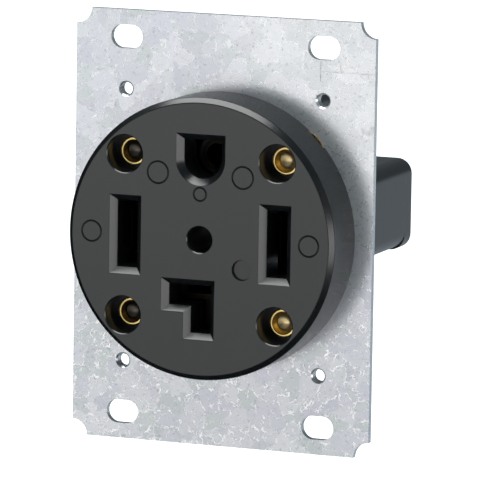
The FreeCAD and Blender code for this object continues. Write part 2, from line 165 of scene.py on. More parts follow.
class OutletBody(bpy.types.PropertyGroup):
    flange_diameter: length("Flange", "Round flange behind the strap", 59.0)
    flange_thickness: length("Flange thickness", "Round flange behind the strap", 6.0)
    flange_bevel: length("Flange bevel", "Rear edge of the flange", 1.0)
    reach: length("Arm reach", "End of an arm from the axis", 26.3)
    width: length("Arm width", "Across an arm", 20.0)
    corner_radius: length("Arm corner", "Rounded edges of the arms", 3.0)
    wall: length("Arm wall", "Wall of a chamber", 2.2)
    chamber_near: length("Chamber near", "Inner end of a chamber", 9.4)
    core_half: length("Core half", "Half the square pocket between the chambers", 6.4)
    core_radius: length("Core corner", "Corners of that pocket", 2.0)
    tower_reach: length("Tower reach", "End of a housing arm from the axis", 28.0)
    tower_low: length("Tower low", "Thin side of a housing arm from its middle", 7.2)
    tower_low_upright: length("Upright low", "Thin side of an upright arm from its middle", 10.0)
    tower_high: length("Tower high", "Screw side of a housing arm from its middle", 12.6)
    tower_corner: length("Tower corner", "Rounded edges of the housing arms", 3.4)
    chamber_low: length("Chamber low", "Thin side of a housing chamber from the arm's middle", 5.2)
    pad_proud: length("Pad", "Height of the pads on the thin sides", 0.45)
    pad_front: length("Pad front", "Front end of the pads", 38.8)
    pocket_half: length("Lug pocket half", "Half a lug pocket along its arm", 6.2)
    pocket_low: length("Lug pocket low", "Thin side of a lug pocket from the arm's middle", 5.1)
    pocket_high: length("Lug pocket high", "Screw side of a lug pocket from the arm's middle", 7.1)
    pocket_front: length("Lug pocket front", "Front end of a lug pocket", 29.6)
    well_diameter: length("Screw well", "Hole in an arm's side for its screw", 7.0)
    entry_diameter: length("Wire entry", "Hole in the rear cover", 7.4)
    entry_shift: length("Wire shift", "Wire entry beside the arm's middle", 0.8)
    edge_round: length("Edge round", "Softened edges of the mouldings", 0.45)


class OutletScrews(bpy.types.PropertyGroup):
    station: length("Station", "Screw axis behind the strap", 37.0)
    head_diameter: length("Head", "Diameter of the head", 6.4)
    head_inner: length("Head underside", "From the arm's middle", 7.5)
    head_height: length("Head height", "Height of the head", 2.6)
    head_bevel: length("Head bevel", "Broken edges of the head", 0.35)
    diameter: length("Shank", "Outer diameter of the thread", 4.8)
    thread_pitch: length("Thread pitch", "Distance between the thread's ridges", 0.8)
    thread_depth: length("Thread depth", "Depth of the thread", 0.4)
    tip: length("Tip", "End of the shank from the arm's middle", 4.0)
    slot_width: length("Slot width", "Driver slot", 1.2)
    slot_depth: length("Slot depth", "Driver slot", 1.1)


class OutletFinishes(bpy.types.PropertyGroup):
    steel: colour("Steel", "Galvanised sheet", (0.70, 0.71, 0.745))
    # Also the cooler painted shade on the strap's left side.
    steel_cool: colour("Cool spangle", "Lavender patches of the zinc", (0.645, 0.64, 0.72))
    steel_green: colour("Green spangle", "Greenish patches of the zinc", (0.65, 0.695, 0.68))
    # Also the painted light that pales the strap's right side and foot.
    steel_white: colour("White spangle", "Bright patches of the zinc", (0.865, 0.86, 0.872))
    steel_vein: colour("Spangle edge", "Bright edges between the zinc's crystals", (0.96, 0.955, 0.965))
    steel_speck: colour("Steel speck", "Dull specks and scratches in the zinc", (0.36, 0.37, 0.39))
    moulding: colour("Moulding", "Black phenolic", (0.0085, 0.009, 0.0098))
    moulding_pale: colour("Moulding bloom", "Paler cloud on the black phenolic", (0.0125, 0.013, 0.014))
    moulding_scuff: colour("Moulding scuff", "Hairlines on the black phenolic", (0.05, 0.05, 0.054))
    brass: colour("Brass", "Bright brass", (0.78, 0.56, 0.23))
    brass_stain: colour("Brass stain", "Tarnish on the brass", (0.42, 0.27, 0.10))
    # Painted shade: the contacts are painted almost black, for the shade deep in the blade openings.
    brass_dull: colour("Dull brass", "Oxidised contacts inside the body", (0.022, 0.018, 0.013))
    brass_fresh: colour("Fresh brass", "Rolled ends of the rivets", (0.86, 0.67, 0.27))
    # Painted shade in the rivets' bores: dim brass in the right-hand ones, almost black in the left-hand
    # ones.
    brass_bore: colour("Bore", "Dull bores of the right-hand rivets", (0.72, 0.57, 0.30))
    brass_grime: colour("Left bore shade", "Dirt in the left-hand rivets' bores", (0.07, 0.066, 0.063))
    nickel: colour("Nickel", "Plated screw", (0.66, 0.64, 0.60))
    nickel_stain: colour("Nickel stain", "Dull places of the plating", (0.42, 0.41, 0.39))
    green: colour("Green", "Dyed ground screw", (0.05, 0.26, 0.10))
    green_stain: colour("Green stain", "Thin places of the dye", (0.16, 0.34, 0.17))
    spring: colour("Spring steel", "Blued clips", (0.045, 0.048, 0.060))
    spring_stain: colour("Spring stain", "Brown cast of the bluing", (0.050, 0.042, 0.036))


class OutletStage(bpy.types.PropertyGroup):
    azimuth: angle("Azimuth", "Camera to the right of the front", 21.17)
    elevation: angle("Elevation", "Camera above the horizon", 8.5)
    roll: angle("Roll", "Camera about its own axis", 0.92)
    distance: length("Distance", "Camera from the strap's centre", 1200.0)
    aim_x: length("Aim X", "Camera shifted to its right", 3.364)
    aim_y: length("Aim Y", "Camera shifted up", -1.995)
    lens: FloatProperty(name="Lens", description="Focal length in millimetres", default=411.5)
    floor: length("Floor", "Floor below the strap's centre", 250.0)
    room: length("Room", "Radius of the backdrop", 2200.0)
    room_height: length("Room height", "Backdrop above the floor", 1500.0)
    sky: strength("Sky", "Light of the world above the backdrop", 0.50)
    sky_shine: strength("Sky shine", "The same light in reflections", 0.08)
    sky_tint: colour("Sky tint", "Colour of that light", (0.58, 0.93, 1.0))
    white: strength("White", "Glow of the backdrop towards the camera", 1.15)
    shine_front: strength("Front shine", "Glow of the backdrop's front half in reflections", 0.85)
    shine_back: strength("Back shine", "Glow of the backdrop's rear half in reflections", 0.52)
    shine_tint: colour("Rear tint", "Colour of the rear half's glow", (0.80, 0.91, 1.0))
    floor_white: colour("Floor", "Paint of the floor", (0.85, 0.85, 0.85))
    wall_grey: colour("Wall", "Paint of the backdrop above the floor", (0.22, 0.24, 0.25))
    overhead: strength("Overhead", "Radiance of the overhead softbox", 5.6)
    right: strength("Right", "Radiance of the right softbox", 2.2)
    key: strength("Key", "Radiance of the front left softbox", 0.60)


def pick_only(*objs):
    """Object mode, with these objects selected and the first one active."""
    if bpy.context.mode != "OBJECT":
        bpy.ops.object.mode_set(mode="OBJECT")
    bpy.ops.object.select_all(action="DESELECT")
    for obj in objs:
        obj.select_set(True)
    if objs:
        bpy.context.view_layer.objects.active = objs[0]


def settled(size=(1.0, 1.0, 1.0)):
    """The new primitive, brought to its size, with its place in its mesh."""
    bpy.context.active_object.scale = size
    bpy.ops.object.transform_apply(location=True, rotation=True, scale=True)
    return bpy.context.active_object


def edit(obj, kind, test):
    """Edit mode on obj, with the parts of one kind selected that pass the test."""
    pick_only(obj)
    bpy.ops.object.mode_set(mode="EDIT")
    bpy.ops.mesh.select_mode(type=kind)
    bpy.ops.mesh.select_all(action="DESELECT")
    mesh = bmesh.from_edit_mesh(obj.data)
    for item in {"VERT": mesh.verts, "EDGE": mesh.edges, "FACE": mesh.faces}[kind]:
        if test(item):
            item.select_set(True)
    mesh.select_flush_mode()
    bmesh.update_edit_mesh(obj.data)


def leave_edit(obj):
    """Back to object mode, with every face pointing outwards."""
    bpy.ops.mesh.select_all(action="SELECT")
    bpy.ops.mesh.normals_make_consistent(inside=False)
    bpy.ops.object.mode_set(mode="OBJECT")
    return obj


def extrude(x, y, z):
    """The selected part drawn out by a step."""
    bpy.ops.mesh.extrude_region_move(TRANSFORM_OT_translate={"value": (x, y, z)})


def along(item, axis):
    """True for an edge that runs along one axis."""
    step = item.verts[0].co - item.verts[1].co
    return abs(abs(step[axis]) - step.length) < NEAR


def block(x, y, z, radius=0.0, segments=8):
    """A box between low and high values, with its edges along Y rounded."""
    pick_only()
    centre = [(low + high) / 2 for low, high in (x, y, z)]
    size = [high - low for low, high in (x, y, z)]
    bpy.ops.mesh.primitive_cube_add(size=1.0, location=centre)
    obj = settled(size)
    if radius:
        edit(obj, "EDGE", lambda e: along(e, 1))
        bpy.ops.mesh.bevel(offset=radius, segments=segments, affect="EDGES")
        leave_edit(obj)
    return obj


def rod(radius, y, x=0.0, z=0.0, sides=ROUND_SIDES):
    """A cylinder along Y."""
    pick_only()
    bpy.ops.mesh.primitive_cylinder_add(vertices=sides, radius=radius, depth=y[1] - y[0],
                                        location=(x, (y[0] + y[1]) / 2, z), rotation=(QUARTER, 0, 0))
    return settled()


def plate(x, y, z):
    """A flat face across Y between low and high values."""
    pick_only()
    bpy.ops.mesh.primitive_plane_add(size=1.0, location=((x[0] + x[1]) / 2, y, (z[0] + z[1]) / 2),
                                     rotation=(QUARTER, 0, 0))
    return settled((x[1] - x[0], z[1] - z[0], 1.0))


def disc(radius, y, x=0.0, z=0.0, sides=ROUND_SIDES):
    """A flat round face across Y."""
    pick_only()
    bpy.ops.mesh.primitive_circle_add(vertices=sides, radius=radius, fill_type="NGON", location=(x, y, z),
                                      rotation=(QUARTER, 0, 0))
    return settled()


def one_face(obj):
    """The faces of a flat outline made one."""
    bpy.ops.mesh.select_mode(type="FACE")
    bpy.ops.mesh.select_all(action="SELECT")
    bpy.ops.mesh.dissolve_faces(use_verts=False)
    return obj


def sink(outline, steps):
    """A flat face grown into a cutter: a slab in front, then steps of inset and depth."""
    edit(outline, "FACE", lambda f: True)
    extrude(0, OVERRUN, 0)
    for inset, depth in steps:
        if inset:
            bpy.ops.mesh.inset(thickness=inset)
            bpy.ops.transform.translate(value=(0, depth, 0))
        else:
            extrude(0, depth, 0)
    return leave_edit(outline)


def modify(obj, kind, **settings):
    """A modifier, set and applied."""
    pick_only(obj)
    modifier = obj.modifiers.new(kind.title(), kind)
    for key, value in settings.items():
        setattr(modifier, key, value)
    bpy.ops.object.modifier_apply(modifier=modifier.name)


def joined(objs):
    """Several bodies made one object."""
    pick_only(*objs)
    bpy.ops.object.join()
    return objs[0]


def combine(obj, others, operation):
    """Boolean of obj with each of the others, which are used up."""
    for other in others:
        modify(obj, "BOOLEAN", operation=operation, solver="EXACT", object=other)
        bpy.data.objects.remove(other, do_unlink=True)
    return obj


def carve(obj, cutters):
    """Cut by several bodies that stand clear of each other."""
    return combine(obj, [joined(cutters)], "DIFFERENCE")


def turned_copy(obj, degrees):
    """A copy with its own mesh, turned about Y."""
    copy = obj.copy()
    copy.data = obj.data.copy()
    copy.data.transform(Matrix.Rotation(math.radians(degrees), 4, "Y"))
    bpy.context.collection.objects.link(copy)
    return copy


def on_each_arm(obj):
    """obj and its copies on the other three arms."""
    return [obj] + [turned_copy(obj, degrees) for degrees in ARM_TURNS.values() if degrees]


def soften(obj, width, degrees=40.0):
    """Small rounded edges all over, where faces meet at more than this angle."""
    modify(obj, "BEVEL", width=width, segments=2, limit_method="ANGLE", angle_limit=math.radians(degrees),
           use_clamp_overlap=True, harden_normals=False)


def shade(obj, degrees=32.0):
    """Smooth curves and flat faces."""
    pick_only(obj)
    bpy.ops.object.shade_smooth_by_angle(angle=math.radians(degrees))
    modify(obj, "WEIGHTED_NORMAL", keep_sharp=True, mode="FACE_AREA", weight=50)


def finished(obj, name, material, slot, *nodes):
    """Names, paints and hands over one piece."""
    obj.name = name
    obj.data.name = name
    obj.data.materials.clear()
    obj.data.materials.append(material)
    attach(obj, "root")
    if nodes:
        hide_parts(*nodes)


def spun(points, axis, centre, sides):
    """A profile drawn by extruding one point, spun about an axis."""
    pick_only()
    bpy.ops.mesh.primitive_plane_add(size=1.0 * MM, location=(0, 0, 0))
    obj = settled()
    edit(obj, "VERT", lambda v: True)
    bpy.ops.mesh.merge(type="CENTER")
    bpy.ops.transform.translate(value=points[0])
    for before, after in zip(points, points[1:]):
        extrude(*(after - before))
    bpy.ops.mesh.select_all(action="SELECT")
    bpy.ops.mesh.spin(steps=sides, angle=2 * math.pi, center=centre, axis=axis)
    bpy.ops.mesh.select_all(action="SELECT")
    bpy.ops.mesh.remove_doubles(threshold=NEAR)
    return leave_edit(obj)


def feed(tree, socket, value):
    """An input set to a value, or linked to another node's output."""
    if isinstance(value, bpy.types.NodeSocket):
        tree.links.new(value, socket)
    else:
        socket.default_value = value


def add(tree, kind, settings=None, **values):
    """A node with its settings, and its inputs set or linked by name."""
    item = tree.nodes.new(kind)
    for key, value in (settings or {}).items():
        setattr(item, key, value)
    for key, value in values.items():
        feed(tree, item.inputs[key.replace("_", " ")], value)
    return item


def calc(tree, operation, first, second=0.0, clamp=False):
    """One sum on values."""
    item = tree.nodes.new("ShaderNodeMath")
    item.operation = operation
    item.use_clamp = clamp
    for socket, value in zip(item.inputs, (first, second)):
        feed(tree, socket, value)
    return item.outputs[0]


def times(tree, first, second):
    """Two values multiplied."""
    return calc(tree, "MULTIPLY", first, second)


def plus(tree, first, second, clamp=False):
    """Two values added."""
    return calc(tree, "ADD", first, second, clamp)


def sloped(tree, value, slope, start):
    """A value multiplied by a slope, from a start."""
    return plus(tree, times(tree, value, slope), start)


def between(tree, value, low, high, to_low=0.0, to_high=1.0):
    """A value moved smoothly from one range to another."""
    item = add(tree, "ShaderNodeMapRange", {"interpolation_type": "SMOOTHSTEP"}, Value=value, From_Min=low,
               From_Max=high, To_Min=to_low, To_Max=to_high)
    return item.outputs["Result"]


def tint(tree, factor, first, second):
    """Two colours mixed. The sockets of a colour mix follow those of its other kinds."""
    item = tree.nodes.new("ShaderNodeMix")
    item.data_type = "RGBA"
    feed(tree, item.inputs[0], factor)
    for socket, value in ((item.inputs[6], first), (item.inputs[7], second)):
        feed(tree, socket, value if isinstance(value, bpy.types.NodeSocket) else (*value, 1.0))
    return item.outputs[2]


def new_group(name, inputs, outputs):
    """An empty node group with named sockets."""
    tree = bpy.data.node_groups.new(name, "ShaderNodeTree")
    for socket, kind in inputs:
        tree.interface.new_socket(name=socket, in_out="INPUT", socket_type=kind)
    for socket, kind in outputs:
        tree.interface.new_socket(name=socket, in_out="OUTPUT", socket_type=kind)
    return tree, tree.nodes.new("NodeGroupInput").outputs, tree.nodes.new("NodeGroupOutput").inputs


def grain_group():
    """Fine surface grain and a slow cloud over it."""
    name = "Surface grain"
    if name in bpy.data.node_groups:
        return bpy.data.node_groups[name]
    tree, given, gives = new_group(name, [("Vector", "NodeSocketVector"), ("Scale", "NodeSocketFloat"),
                                          ("Cloud Scale", "NodeSocketFloat")],
                                   [("Height", "NodeSocketFloat"), ("Cloud", "NodeSocketFloat")])
    fine = add(tree, "ShaderNodeTexNoise", Vector=given["Vector"], Scale=given["Scale"], Detail=3.0,
               Roughness=0.6)
    slow = add(tree, "ShaderNodeTexNoise", Vector=given["Vector"], Scale=given["Cloud Scale"], Detail=5.0,
               Roughness=0.62, Distortion=0.4)
    tree.links.new(fine.outputs["Fac"], gives["Height"])
    tree.links.new(between(tree, slow.outputs["Fac"], 0.3, 0.7), gives["Cloud"])
    return tree


def hairline_group():
    """Sparse fine lines: contours of a stretched noise, broken up by a second one."""
    name = "Hairlines"
    if name in bpy.data.node_groups:
        return bpy.data.node_groups[name]
    tree, given, gives = new_group(name, [("Vector", "NodeSocketVector"), ("Stretch", "NodeSocketVector"),
                                          ("Scale", "NodeSocketFloat"), ("Width", "NodeSocketFloat"),
                                          ("Spread", "NodeSocketFloat")],
                                   [("Mask", "NodeSocketFloat")])
    stretched = add(tree, "ShaderNodeMapping", Vector=given["Vector"], Rotation=(0.3, 0.6, 0.2),
                    Scale=given["Stretch"])
    lines = add(tree, "ShaderNodeTexNoise", Vector=stretched.outputs["Vector"], Scale=given["Scale"],
                Detail=1.0, Roughness=0.4)
    level = calc(tree, "ABSOLUTE", calc(tree, "SUBTRACT", lines.outputs["Fac"], 0.5))
    thin = calc(tree, "SUBTRACT", 1.0, calc(tree, "DIVIDE", level, given["Width"], clamp=True), clamp=True)
    patches = add(tree, "ShaderNodeTexNoise", Vector=given["Vector"],
                  Scale=times(tree, given["Scale"], 1.7), Detail=2.0)
    kept = between(tree, calc(tree, "SUBTRACT", patches.outputs["Fac"], given["Spread"]), 0.0, 0.06)
    tree.links.new(times(tree, thin, kept), gives["Mask"])
    return tree


def placed(tree, group, **values):
    """A node group in a material."""
    return add(tree, "ShaderNodeGroup", {"node_tree": group}, **values).outputs


def new_material(name):
    """An empty material: its tree, its shader and the Object coordinates."""
    material = bpy.data.materials.new(name)
    material.use_nodes = True
    tree = material.node_tree
    shader = tree.nodes["Principled BSDF"]
    return material, tree, shader, tree.nodes.new("ShaderNodeTexCoord").outputs


def roughen(tree, shader, height, depth, amount):
    """A bump on the shader's normal."""
    bump = add(tree, "ShaderNodeBump", Height=height, Distance=depth, Strength=amount)
    tree.links.new(bump.outputs["Normal"], shader.inputs["Normal"])


def paint(tree, shader, base, rough):
    """The shader's colour and roughness."""
    tree.links.new(base, shader.inputs["Base Color"])
    tree.links.new(rough, shader.inputs["Roughness"])


PHENOLIC_IOR = 1.62
SCRATCHED = (1.0, 1.0, 0.18)
EVEN = (1.0, 1.0, 1.0)
SPANGLE_SCALE = 240.0
SPANGLE_RAGGED = 4.5 * MM
# Painted shade in the rivets' bores: the depth over which it fades in, the depth it reaches to, and its
# strength.
BORE_SHADE_FADE = 1.5 * MM
BORE_SHADE_REACH = 6.0 * MM
BORE_SHADE_COVER = 0.97

# Roughness when bright, roughness when stained and share of the stain
METALS = {"brass": (0.2, 0.4, 0.55), "rivets": (0.18, 0.34, 0.5), "contacts": (0.42, 0.6, 0.8),
          "nickel": (0.24, 0.42, 0.5), "green_screw": (0.3, 0.42, 0.6), "spring_steel": (0.32, 0.5, 0.6)}


def zinc_crystals(tree, where):
    """Ragged crystals: three random values for each, and a broken line along their edges."""
    warp = add(tree, "ShaderNodeTexNoise", Vector=where, Scale=260.0, Detail=3.0, Roughness=0.6)
    pushed = add(tree, "ShaderNodeVectorMath", {"operation": "SCALE"}, Vector=warp.outputs["Color"],
                 Scale=SPANGLE_RAGGED)
    moved = tree.nodes.new("ShaderNodeVectorMath")
    tree.links.new(where, moved.inputs[0])
    tree.links.new(pushed.outputs[0], moved.inputs[1])
    ragged = moved.outputs[0]
    cells = add(tree, "ShaderNodeTexVoronoi", {"feature": "F1"}, Vector=ragged, Scale=SPANGLE_SCALE)
    parts = add(tree, "ShaderNodeSeparateColor", Color=cells.outputs["Color"])
    rims = add(tree, "ShaderNodeTexVoronoi", {"feature": "DISTANCE_TO_EDGE"}, Vector=ragged,
               Scale=SPANGLE_SCALE)
    breaks = add(tree, "ShaderNodeTexNoise", Vector=where, Scale=620.0, Detail=2.0, Roughness=0.6)
    seams = times(tree, between(tree, rims.outputs["Distance"], 0.055, 0.01),
                  between(tree, breaks.outputs["Fac"], 0.50, 0.58))
    return parts.outputs, seams


def zinc_zones(tree, where):
    """Painted light: a paler right side and foot of the sheet; and how clearly crystal edges show by height.
    """
    place = add(tree, "ShaderNodeSeparateXYZ", Vector=where).outputs
    level = plus(tree, place["X"], times(tree, place["Z"], 0.7))
    right = between(tree, level, 25.0 * MM, 46.0 * MM)
    foot = between(tree, place["Z"], -20.0 * MM, -42.0 * MM)
    clear = between(tree, place["Z"], 20.0 * MM, -22.0 * MM, 0.40, 0.95)
    return right, foot, clear


def galvanised_steel(look):
    """Zinc-coated sheet: soft spangle with bright crystal edges, specks and hairlines, and painted light and
    shade by place.
    """
    material, tree, shader, given = new_material("Galvanised steel")
    where = given["Object"]
    parts, seams = zinc_crystals(tree, where)
    right, foot, clear = zinc_zones(tree, where)
    cloud = placed(tree, grain_group(), Vector=where, Scale=2200.0, Cloud_Scale=150.0)
    specks = add(tree, "ShaderNodeTexNoise", Vector=where, Scale=1500.0, Detail=2.0, Roughness=0.7)
    dark = between(tree, specks.outputs["Fac"], 0.60, 0.72)
    pale = times(tree, between(tree, specks.outputs["Fac"], 0.35, 0.27), clear)
    veins = placed(tree, hairline_group(), Vector=where, Stretch=EVEN, Scale=430.0, Width=0.020, Spread=0.52)
    edges = times(tree, calc(tree, "MAXIMUM", veins["Mask"], seams), clear)
    lines = placed(tree, hairline_group(), Vector=where, Stretch=SCRATCHED, Scale=90.0, Width=0.006,
                   Spread=0.6)
    # Painted light and shade: paler towards the right side and the foot, cooler and with stronger spangle
    # colours towards the left.
    left = calc(tree, "SUBTRACT", 1.0, right)
    painted_light = plus(tree, times(tree, right, 0.6), times(tree, foot, 0.68))
    spangle = sloped(tree, left, 0.5, 0.25)
    green = between(tree, parts["Green"], 0.5, 0.9)
    base = tint(tree, plus(tree, painted_light, 0.32, clamp=True), look.steel, look.steel_white)
    for factor, zinc in ((times(tree, cloud["Cloud"], 0.4), look.steel_white),
                         (times(tree, parts["Red"], spangle), look.steel_cool),
                         (times(tree, green, spangle), look.steel_green),
                         (times(tree, left, 0.1), look.steel_cool),
                         (times(tree, pale, 0.6), look.steel_vein),
                         (times(tree, dark, 0.65), look.steel_speck),
                         (edges, look.steel_vein),
                         (times(tree, lines["Mask"], 0.5), look.steel_speck)):
        base = tint(tree, factor, base, zinc)
    paint(tree, shader, base, between(tree, parts["Blue"], 0.0, 1.0, 0.21, 0.26))
    bare = sloped(tree, calc(tree, "MAXIMUM", edges, pale), 0.3, 0.7)
    tree.links.new(bare, shader.inputs["Metallic"])
    height = plus(tree, cloud["Height"], times(tree, parts["Blue"], 0.6))
    height = calc(tree, "SUBTRACT", height, times(tree, lines["Mask"], 0.5))
    roughen(tree, shader, height, 0.06 * MM, 0.3)
    return material


def black_moulding(look):
    """Satin black phenolic: fine grain, a faint cloud and a few hairlines."""
    material, tree, shader, given = new_material("Black moulding")
    where = given["Object"]
    grain = placed(tree, grain_group(), Vector=where, Scale=2600.0, Cloud_Scale=130.0)
    lines = placed(tree, hairline_group(), Vector=where, Stretch=SCRATCHED, Scale=60.0, Width=0.004,
                   Spread=0.62)
    base = tint(tree, grain["Cloud"], look.moulding, look.moulding_pale)
    base = tint(tree, times(tree, lines["Mask"], 0.25), base, look.moulding_scuff)
    paint(tree, shader, base, sloped(tree, grain["Cloud"], 0.025, 0.225))
    shader.inputs["IOR"].default_value = PHENOLIC_IOR
    roughen(tree, shader, grain["Height"], 0.04 * MM, 0.12)
    return material


def metal(name, bright, stain, rough, stain_rough, amount):
    """A small turned or bent metal piece with a cloudy tarnish."""
    material, tree, shader, given = new_material(name)
    shader.inputs["Metallic"].default_value = 1.0
    where = given["Object"]
    grain = placed(tree, grain_group(), Vector=where, Scale=1800.0, Cloud_Scale=420.0)
    lines = placed(tree, hairline_group(), Vector=where, Stretch=SCRATCHED, Scale=240.0, Width=0.012,
                   Spread=0.5)
    cloud = times(tree, grain["Cloud"], amount)
    base = tint(tree, cloud, bright, stain)
    base = tint(tree, times(tree, lines["Mask"], 0.3), base, stain)
    paint(tree, shader, base, sloped(tree, cloud, stain_rough - rough, rough))
    roughen(tree, shader, grain["Height"], 0.04 * MM, 0.2)
    return material


def rivet_brass(look, front):
    """Bright brass with painted shade in its bores, growing with depth: dim brass in the right-hand ones,
    almost black in the left-hand ones.
    """
    material = metal("Rivet brass", look.brass_fresh, look.brass, *METALS["rivets"])
    tree = material.node_tree
    shader = tree.nodes["Principled BSDF"]
    given = tree.nodes["Texture Coordinate"].outputs
    where = add(tree, "ShaderNodeSeparateXYZ", Vector=given["Object"]).outputs
    # Painted shade: the bores darken with depth, to dim brass on the right and almost black on the left.
    deep = between(tree, where["Y"], front, front + BORE_SHADE_FADE)
    hollow = calc(tree, "LESS_THAN", where["Y"], front + BORE_SHADE_REACH)
    painted_shade = tint(tree, between(tree, where["X"], -MM, MM), look.brass_grime, look.brass_bore)
    mask = times(tree, times(tree, deep, hollow), BORE_SHADE_COVER)
    bright = shader.inputs["Base Color"].links[0].from_socket
    tree.links.new(tint(tree, mask, bright, painted_shade), shader.inputs["Base Color"])
    return material


def finish_of(look, slot):
    """The material of one of the record's slots, made once."""
    name = slot.replace("_", " ").capitalize()
    if name in bpy.data.materials:
        return bpy.data.materials[name]
    if slot == "galvanised_steel":
        return galvanised_steel(look)
    if slot == "black_moulding":
        return black_moulding(look)
    word = slot.split("_")[0]
    return metal(name, getattr(look, word), getattr(look, word + "_stain"), *METALS[slot])


def grown(low, high, margin):
    """A range made wider at both ends."""
    return (low - margin, high + margin)


def neutral_outline(face, front):
    """The L of the neutral mouth: a limb, split, with its foot drawn out to the left."""
    half = face.neutral_width / 2
    knee = -face.neutral_near - face.neutral_width
    limb = plate((-half, half), front, (-face.neutral_far, -face.neutral_near))
    edit(limb, "FACE", lambda f: True)
    bpy.ops.mesh.bisect(plane_co=(0, front, knee), plane_no=(0, 0, 1))
    edit(limb, "EDGE", lambda e: all(abs(v.co.x + half) < NEAR and v.co.z > knee - NEAR for v in e.verts))
    extrude(half - face.neutral_reach, 0, 0)
    return one_face(limb)


def ground_outline(face, front):
    """The U of the ground mouth: half a disc with its flat side drawn up."""
    radius = face.ground_width / 2
    middle = face.ground_near + radius
    bowl = disc(radius, front, 0, middle)
    edit(bowl, "FACE", lambda f: True)
    bpy.ops.mesh.bisect(plane_co=(0, front, middle), plane_no=(0, 0, 1), clear_outer=True)
    edit(bowl, "EDGE", lambda e: all(abs(v.co.z - middle) < NEAR for v in e.verts))
    extrude(0, 0, face.ground_far - middle)
    return one_face(bowl)


# Round marks on the face: across, up and radius, in millimetres
RING_MARKS = [(-9.85, 14.15, 2.4), (9.85, 14.15, 2.4), (-25.25, 0.3, 2.25), (25.25, 0.3, 2.25),
              (0.0, 9.95, 1.45)]
EJECTOR = (9.9, -6.0, 2.3)
EJECTOR_DEPTH = 0.8 * MM
BREAK_SLOPE = 0.6
BOND_PLAY = 0.2 * MM
BOND_HALF = 3.7 * MM


def ring_cutter(face, x, z, radius):
    """Round groove of an engraved ring."""
    pick_only()
    bpy.ops.mesh.primitive_torus_add(major_radius=radius * MM, minor_radius=face.groove,
                                     major_segments=HOLE_SIDES, minor_segments=8,
                                     location=(x * MM, FACE_LOW.y, z * MM), rotation=(QUARTER, 0, 0))
    return settled()


def level_at(edge, y):
    """Whether an edge lies in the plane at this depth."""
    return all(abs(vertex.co.y - y) < NEAR for vertex in edge.verts)


class OUTLET_OT_face(bpy.types.Operator):
    """Builds the round face with its chamfered openings, recesses and ring marks"""
    bl_idname = "outlet.face"
    bl_label = "Face cover"

    def execute(self, context):
        face = context.scene.outlet_face
        rivets = context.scene.outlet_rivets
        front = FACE_LOW.y
        drum = rod(FACE_HIGH.x, (front, FACE_HIGH.y), sides=DRUM_SIDES)
        edit(drum, "EDGE", lambda e: level_at(e, front))
        bpy.ops.mesh.bevel(offset=face.rim_chamfer, segments=1, affect="EDGES")
        leave_edit(drum)
        shoulder = front + face.rim_chamfer
        edit(drum, "EDGE", lambda e: level_at(e, front) or level_at(e, shoulder))
        bpy.ops.mesh.bevel(offset=face.rim_break, segments=3, affect="EDGES")
        leave_edit(drum)
        carve(drum, self.cavities(context))
        carve(drum, self.openings(face, rivets, front))
        carve(drum, [ring_cutter(face, *mark) for mark in RING_MARKS])
        combine(drum, self.bond_recess(face, rivets), "DIFFERENCE")
        shade(drum)
        black = finish_of(context.scene.outlet_finishes, "black_moulding")
        finished(drum, "face", black, "black_moulding", "face_cover")
        return {"FINISHED"}

    def cavities(self, context):
        """Pockets behind the face wall."""
        face = context.scene.outlet_face
        body = context.scene.outlet_body
        y = (FACE_LOW.y + face.wall, FACE_HIGH.y + OVERRUN)
        near = body.chamber_near + body.wall
        far = body.reach - body.wall
        half = body.width / 2 - body.wall
        return [block((near, far), y, (-half, half)), block((-far, -near), y, (-half, half)),
                block((-half, half), y, (near, far)),
                block((-face.neutral_reach, half), y, (-far, -face.neutral_near))]

    def openings(self, face, rivets, front):
        """Blade openings, centre hole and round recesses, as cutters."""
        lead = front - OVERRUN
        broken = face.edge_break
        dip = broken * BREAK_SLOPE
        throat = [(broken, dip), (face.chamfer_width - broken, face.chamfer_depth - dip),
                  (0, face.wall - face.chamfer_depth + OVERRUN)]
        tall = grown(0, 0, face.hot_height / 2)
        cutters = []
        for side in (-1, 1):
            middle = side * face.hot_offset
            wide = grown(middle, middle, face.hot_width / 2)
            cutters.append(sink(plate(wide, lead, tall), throat))
        cutters.append(sink(neutral_outline(face, lead), throat))
        cutters.append(sink(ground_outline(face, lead), throat))
        hole = [(broken, broken), (0, face.centre_depth - broken)]
        cutters.append(sink(disc(face.centre_diameter / 2, lead), hole))
        recess = face.recess_diameter / 2
        stepped = [(broken, broken), (0, face.recess_depth - broken),
                   (recess - broken - rivets.diameter / 2, 0), (0, FACE_HIGH.y - front)]
        at = rivets.spacing / 2
        for sx, sz in CORNERS:
            cutters.append(sink(disc(recess, lead, sx * at, sz * at), stepped))
        x, z, radius = (value * MM for value in EJECTOR)
        cutters.append(sink(disc(radius, lead, x, z, HOLE_SIDES), [(EJECTOR_DEPTH / 4, EJECTOR_DEPTH)]))
        return cutters

    def bond_recess(self, face, rivets):
        """Room for the ground strap in the drum's foot."""
        low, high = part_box("ground_strap")
        y = (low.y - BOND_PLAY, FACE_HIGH.y + OVERRUN)
        at = rivets.spacing / 2
        eye = face.ground_near + face.ground_width / 2
        return [rod(high.x - at + BOND_PLAY, y, at, at), block((0, at), y, grown(at, at, BOND_HALF)),
                rod(-low.x + BOND_PLAY, y, 0, eye)]


SLOT_SEGMENTS = 16


